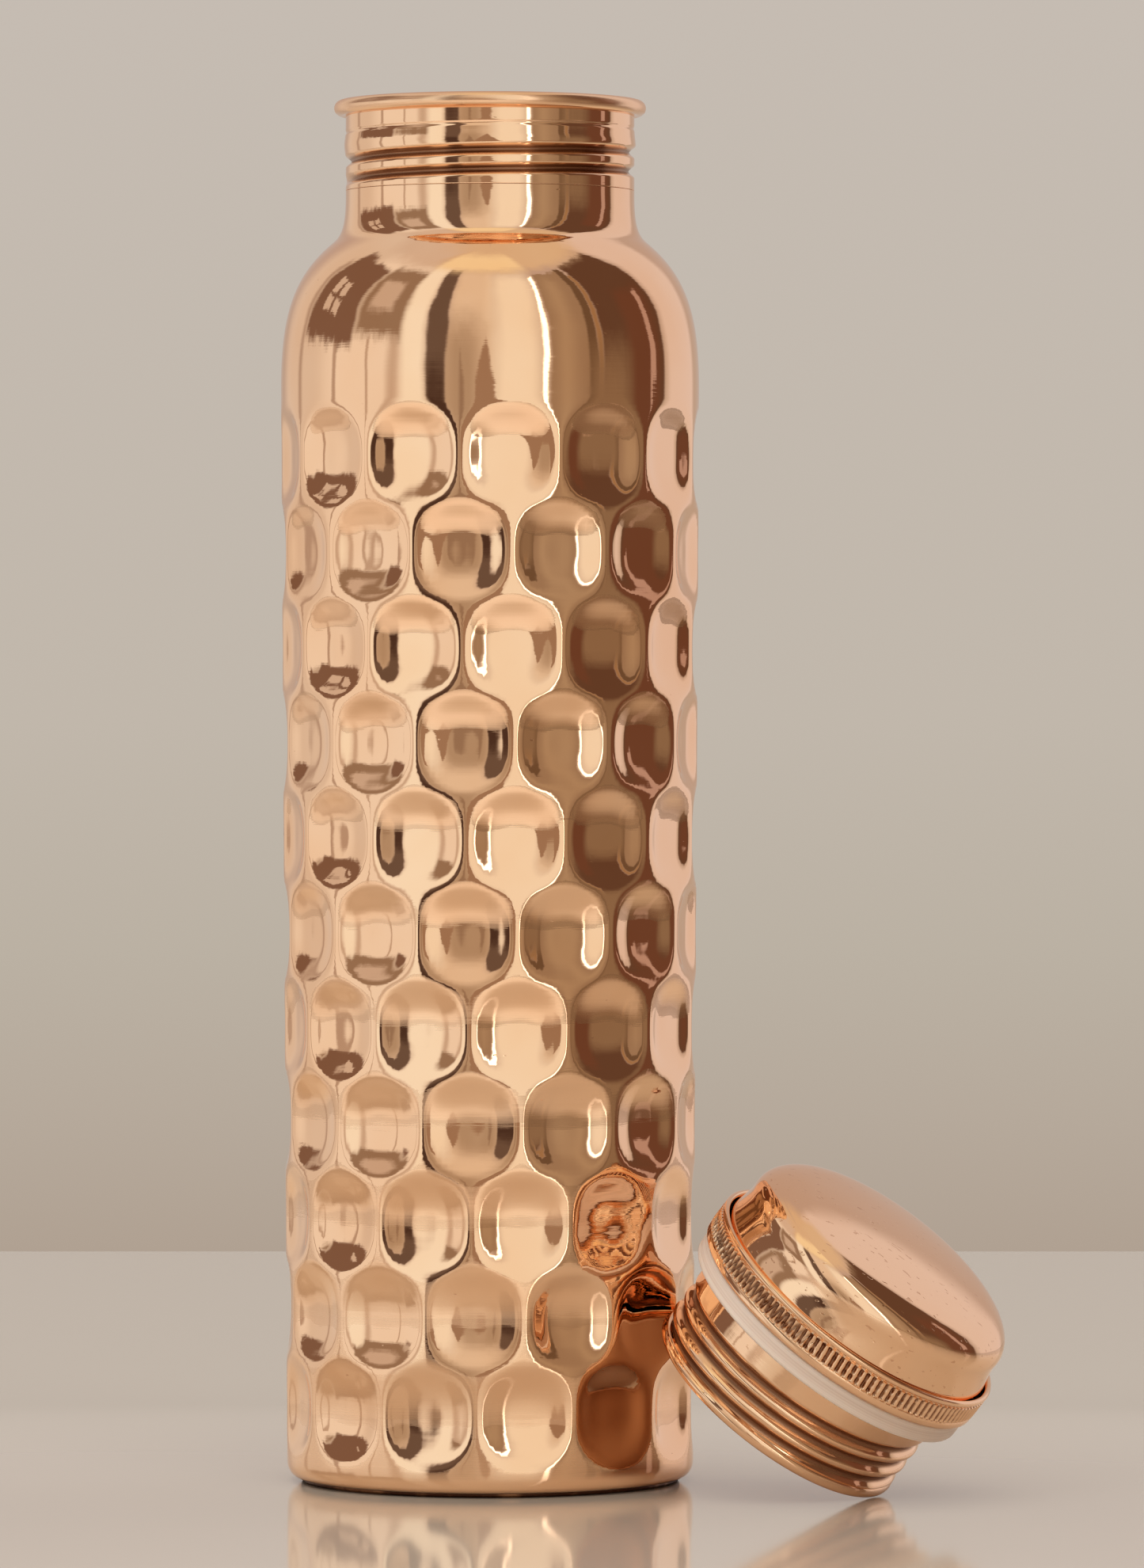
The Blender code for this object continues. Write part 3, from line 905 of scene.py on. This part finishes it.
@dataclass(frozen=True)
class Card:
    """One flag or softbox round the set, as a patch of the surround.

    Attributes:
        left: Bearing of its left side, in degrees from the camera's side towards +X.
        right: Bearing of its right side.
        low: Elevation of its lower side, in degrees.
        high: Elevation of its upper side.
        colour: Its brightness.
        soft: Width of its soft edges, in degrees.
        pointed: Whether it narrows to a point at its upper side.
        fade: Width of its soft ends, in degrees, where it isn't that of its sides.
    """

    left: float
    right: float
    low: float
    high: float
    colour: tuple[float, float, float]
    soft: float = 2.0
    pointed: bool = False
    fade: float = 0.0

    def share(self, graph: Graph, bearing: Socket, elevation: Socket) -> Socket:
        """How much of the surround is this card, at a bearing and an elevation."""
        if self.pointed:
            middle, half = 0.5 * (self.left + self.right), 0.5 * (self.right - self.left)
            away = graph.math("ABSOLUTE", graph.math("SUBTRACT", bearing, middle))
            below = graph.math("SUBTRACT", self.high, elevation)
            reach = graph.times(graph.math("DIVIDE", below, self.high - self.low), half)
            sides = graph.step(graph.math("SUBTRACT", away, reach), self.soft, -self.soft)
        else:
            sides = graph.times(
                graph.step(bearing, self.left - self.soft, self.left + self.soft),
                graph.step(bearing, self.right + self.soft, self.right - self.soft),
            )
        fade = self.fade or self.soft
        ends = graph.times(
            graph.step(elevation, self.low - fade, self.low + fade),
            graph.step(elevation, self.high + fade, self.high - fade),
        )
        return graph.times(sides, ends)


@dataclass
class Studio:
    """A pale glossy table in a soft surround, and the camera."""

    table_half_width: float = 0.80
    table_front: float = -0.80
    table_back: float = 0.57
    table_thickness: float = 6.0 * MM
    table_edge: float = 2.0 * MM
    eye_height: float = 143.5 * MM
    eye_distance: float = 1.475
    eye_aside: float = 14.3 * MM
    eye_tilt: float = math.radians(0.85)
    lens: float = 193.9
    room_low: Colour = (0.52, 0.46, 0.41, 1.0)
    room_high: Colour = (0.545, 0.47, 0.45, 1.0)
    backdrop_low: float = -4.2
    backdrop_span: float = 8.8
    lamp_colour: tuple[float, float, float] = (1.0, 0.98, 0.96)

    def camera(self) -> None:
        """Looks along +Y from just above half the bottle's height."""
        data = bpy.data.cameras.new("camera")
        data.lens = self.lens
        data.sensor_width = 36.0
        data.clip_end = 20.0
        eye = bpy.data.objects.new("camera", data)
        eye.location = (self.eye_aside, -self.eye_distance, self.eye_height)
        eye.rotation_euler = (math.radians(90.0) - self.eye_tilt, 0.0, 0.0)
        bpy.context.scene.collection.objects.link(eye)
        bpy.context.scene.camera = eye

    def table(self) -> bpy.types.Object:
        """A thin lacquered slab with rounded corners."""
        bm = bmesh.new()
        bmesh.ops.create_cube(bm, size=1.0)
        depth = self.table_back - self.table_front
        bmesh.ops.scale(bm, vec=(2.0 * self.table_half_width, depth, self.table_thickness), verts=bm.verts)
        middle = (0.0, 0.5 * (self.table_back + self.table_front), -0.5 * self.table_thickness)
        bmesh.ops.translate(bm, vec=middle, verts=bm.verts)
        bmesh.ops.bevel(
            bm,
            geom=bm.edges[:],
            offset=self.table_edge,
            segments=4,
            profile=0.5,
            affect="EDGES",
            material=-1,
            offset_type="OFFSET",
        )
        slab = finish_piece("table", bm, LacquerFinish().material())
        return slab

    def cards(self) -> Iterable[Card]:
        """The flags and softboxes, from left to right, later ones over earlier ones."""
        yield Card(-152.0, -36.0, -90.0, 62.0, (0.74, 0.70, 0.66), 8.0)
        yield Card(-104.0, -50.0, -90.0, 62.0, (0.90, 0.89, 0.86), 12.0)
        yield Card(-131.0, -127.0, -40.0, 40.0, (0.48, 0.41, 0.37), 2.0)
        yield Card(-97.0, -94.0, -35.0, 12.0, (0.50, 0.42, 0.37), 1.0)
        yield Card(-72.0, -70.5, -40.0, 12.0, (0.55, 0.47, 0.41), 0.7)
        yield Card(-58.0, -52.0, -50.0, 14.0, (0.62, 0.55, 0.49), 3.0)
        yield Card(-126.0, -84.0, 9.0, 50.0, (0.22, 0.14, 0.105), 2.0)
        for left in (-115.0, -107.0):
            for low, high in ((18.0, 24.0), (26.0, 34.0)):
                yield Card(left, left + 6.0, low, high, (0.66, 0.60, 0.56), 0.6)
        yield Card(-83.0, -50.0, 13.0, 55.0, (0.32, 0.24, 0.18), 3.0)
        yield Card(-77.0, -60.0, 24.0, 44.0, (0.62, 0.55, 0.50), 2.5)
        yield Card(-50.0, -36.0, -90.0, 70.0, (0.98, 1.04, 1.01), 3.0)
        yield Card(-24.0, 3.0, -90.0, 60.0, (0.80, 0.73, 0.63), 5.0)
        yield Card(2.0, 30.0, -90.0, 58.0, (0.95, 0.96, 0.89), 8.0)
        yield Card(-26.0, -4.0, -90.0, 22.0, (0.46, 0.38, 0.295), 8.0, fade=14.0)
        yield Card(-26.0, -6.0, -60.0, 10.0, (0.32, 0.24, 0.18), 1.2, True)
        yield Card(-17.0, 12.0, -18.0, 13.0, (0.36, 0.255, 0.185), 1.0, True)
        yield Card(-35.0, -24.0, -70.0, 62.0, (0.155, 0.113, 0.092), 1.2)
        yield Card(-34.0, -25.0, -60.0, 4.0, (0.075, 0.045, 0.035), 1.2, fade=6.0)
        yield Card(30.2, 33.0, -32.0, 54.0, (2.9, 2.9, 2.8), 0.7)
        yield Card(34.5, 58.0, -90.0, 56.0, (0.35, 0.265, 0.19), 1.2)
        yield Card(39.0, 49.0, -40.0, 50.0, (0.44, 0.35, 0.25), 6.0)
        yield Card(57.0, 63.0, -90.0, 58.0, (0.16, 0.105, 0.065), 1.0)
        yield Card(66.0, 113.0, -90.0, 60.0, (0.13, 0.072, 0.047), 1.5)
        yield Card(63.0, 66.0, -50.0, 50.0, (0.36, 0.235, 0.13), 0.8)
        yield Card(84.0, 108.0, -60.0, 32.0, (0.155, 0.072, 0.045), 5.0)
        yield Card(58.0, 84.0, -60.0, 8.0, (0.27, 0.195, 0.13), 6.0, fade=9.0)
        yield Card(72.0, 80.0, -60.0, -14.0, (0.75, 0.55, 0.45), 4.0)
        yield Card(100.0, 104.0, 2.0, 30.0, (0.50, 0.36, 0.33), 0.7)
        yield Card(116.0, 150.0, -90.0, 90.0, (0.78, 0.72, 0.73), 4.0)
        yield Card(-180.0, 180.0, 66.0, 105.0, (0.72, 0.60, 0.45), 9.0)
        yield Card(36.0, 140.0, 62.0, 82.0, (0.73, 0.62, 0.47), 6.0)
        yield Card(-150.0, -60.0, 60.0, 80.0, (0.70, 0.63, 0.58), 8.0)
        yield Card(-52.0, 34.0, 61.0, 80.0, (0.95, 0.87, 0.62), 6.0)

    def backdrop(self, graph: Graph, elevation: Socket) -> Socket:
        """The plain backdrop behind the set, darkest at the table's edge."""
        rise = graph.math("SUBTRACT", elevation, self.backdrop_low)
        level = graph.math("DIVIDE", rise, self.backdrop_span, clamp=True)
        ramp = graph.add("ShaderNodeValToRGB", None, Fac=level)
        stops = ramp.color_ramp.elements
        stops[0].color = (0.428, 0.347, 0.279, 1.0)
        stops[1].color = (0.562, 0.503, 0.447, 1.0)
        stops.new(0.13).color = (0.468, 0.398, 0.329, 1.0)
        stops.new(0.25).color = (0.495, 0.438, 0.366, 1.0)
        stops.new(0.43).color = (0.533, 0.474, 0.407, 1.0)
        return ramp.outputs[0]

    def wavering(self, graph: Graph, value: Socket, cause: Socket, amount: float) -> Socket:
        """A bearing or an elevation with the unevenness of a hand-set card's edge."""
        return graph.math("ADD", value, graph.times(graph.math("SUBTRACT", cause, 0.5), amount))

    def surround(self) -> None:
        """The world: a plain backdrop to the camera, and softboxes and flags to the copper."""
        world = bpy.data.worlds.new("studio")
        bpy.context.scene.world = world
        world.use_nodes = True
        graph = Graph(world.node_tree)
        degrees = 180.0 / math.pi
        direction = graph.add("ShaderNodeTexCoord").outputs["Generated"]
        x, y, z = graph.add("ShaderNodeSeparateXYZ", None, Vector=direction).outputs
        plain_bearing = graph.times(graph.math("ARCTAN2", x, graph.times(y, -1.0)), degrees)
        level = graph.times(graph.math("ARCSINE", z), degrees)
        bearing = self.wavering(graph, plain_bearing, graph.noise(direction, 4.5, 1.5, 0.5), 5.0)
        elevation = self.wavering(graph, level, graph.noise(direction, 9.0, 4.0, 0.65), 9.0)
        colour = graph.mix(graph.step(elevation, -12.0, 25.0), self.room_low, self.room_high)
        for card in self.cards():
            colour = graph.mix(card.share(graph, bearing, elevation), colour, (*card.colour, 1.0))
        seen = graph.add("ShaderNodeLightPath").outputs["Is Camera Ray"]
        shown = graph.mix(seen, colour, self.backdrop(graph, level))
        background = graph.add("ShaderNodeBackground", None, Color=shown, Strength=1.0)
        graph.add("ShaderNodeOutputWorld", None, Surface=background.outputs[0])

    def lights(self) -> None:
        """A wide soft light overhead and a small one over the table's front; neither shows."""
        for name, size, energy, place in (
            ("overhead", (1.4, 1.0), 6.0, (-0.3, -0.1, 1.5)),
            ("table_front", (1.6, 0.4), 2.4, (0.0, -0.52, 0.5)),
        ):
            data = bpy.data.lights.new(name, "AREA")
            data.shape = "RECTANGLE"
            data.size, data.size_y = size
            data.energy = energy
            data.color = self.lamp_colour
            lamp = bpy.data.objects.new(name, data)
            lamp.location = place
            lamp.visible_camera = False
            lamp.visible_glossy = False
            bpy.context.scene.collection.objects.link(lamp)

    def build(self) -> None:
        """Sets the whole studio."""
        self.camera()
        self.table()
        self.surround()
        self.lights()
        bpy.context.scene.view_settings.view_transform = "Standard"


def lid_matrix(frame: dict) -> Matrix:
    """The lid's resting place: its plug's open end, with its own axis as +Z.

    Args:
        frame: The loaded frame.

    Returns:
        The matrix from the upright lid to the frame.
    """
    turn = next(joint for joint in frame["record"]["behaviour"]["joints"] if joint["name"] == "lid_turn")
    up = Vector((0.0, 0.0, 1.0))
    tipped = up.rotation_difference(Vector(turn["axis"]))
    return Matrix.Translation(Vector(turn["pos_m"])) @ tipped.to_matrix().to_4x4()


def dress(frame: dict, node: str, material: bpy.types.Material) -> None:
    """Gives a carried-over node its material in every slot."""
    mesh = frame["nodes"][node].data
    if not mesh.materials:
        mesh.materials.append(material)
    for index in range(len(mesh.materials)):
        mesh.materials[index] = material


def make_bottle() -> Bottle:
    """The bottle in its finishes, with the neck's grooves darkened and a satin lip."""
    neck = CopperFinish(
        "neck_copper",
        groove=24.95 * MM,
        groove_depth=0.7 * MM,
        groove_band=(225.6 * MM, 233.0 * MM),
        satin_above=238.3 * MM,
    )
    body = CopperFinish("hammered_copper")
    # The foot's finish is a painted shadow under the body.
    return Bottle(body.material(), neck.material(), FootShadowFinish().material())


def make_lid(place: Matrix) -> Lid:
    """The lid in its finishes, with its thread and knurl darkened and a satin plug floor."""
    dome = CopperFinish("dome_copper", pit_level=0.69, pit_grain=(600.0, 1500.0, 1500.0))
    plug = CopperFinish(
        "plug_copper",
        groove=23.35 * MM,
        groove_depth=0.5 * MM,
        groove_band=(2.2 * MM, 13.0 * MM),
        satin_within=23.2 * MM,
    )
    grip = CopperFinish(
        "knurled_copper",
        smooth=0.05,
        dull=0.14,
        groove=27.86 * MM,
        groove_depth=0.34 * MM,
        groove_band=(20.75 * MM, 24.15 * MM),
    )
    on_lid = Placement(place)
    coppers = [finish.material(on_lid) for finish in (dome, plug, grip)]
    return Lid(place, *coppers, SiliconeFinish().material(on_lid))


def main() -> None:
    """Builds the bottle and lid round the frame and sets the studio."""
    logging.basicConfig(level=logging.INFO, format="%(name)s %(message)s")
    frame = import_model()
    bottle = make_bottle()
    lid = make_lid(lid_matrix(frame))
    plan = [
        (bottle.body, "bottle", "body_shell", "hammered_copper"),
        (bottle.neck, "bottle", "neck_sleeve", "polished_copper"),
        (bottle.foot, "bottle", "base_pan", "bare_copper"),
        (lid.dome, "lid", "cap_dome", "polished_copper"),
        (lid.collar, "lid", "knurled_collar", "knurled_copper"),
        (lid.plug, "lid", "threaded_plug", "polished_copper"),
        (lid.washer, "gasket", "sealing_washer", "silicone"),
    ]
    for make, body, node, slot in plan:
        piece = make()
        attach(piece, body)
        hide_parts(node)
    braze = BrazeFinish().material()
    for node in ("neck_braze_seam", "base_braze_seam", "dome_braze_seam", "plug_braze_seam"):
        dress(frame, node, braze)
    bare_copper = CopperFinish("bare_copper", smooth=0.18, dull=0.34, grain=0.3).material()
    dress(frame, "cap_backing_disc", bare_copper)
    Studio().build()


if __name__ == "__main__":
    main()
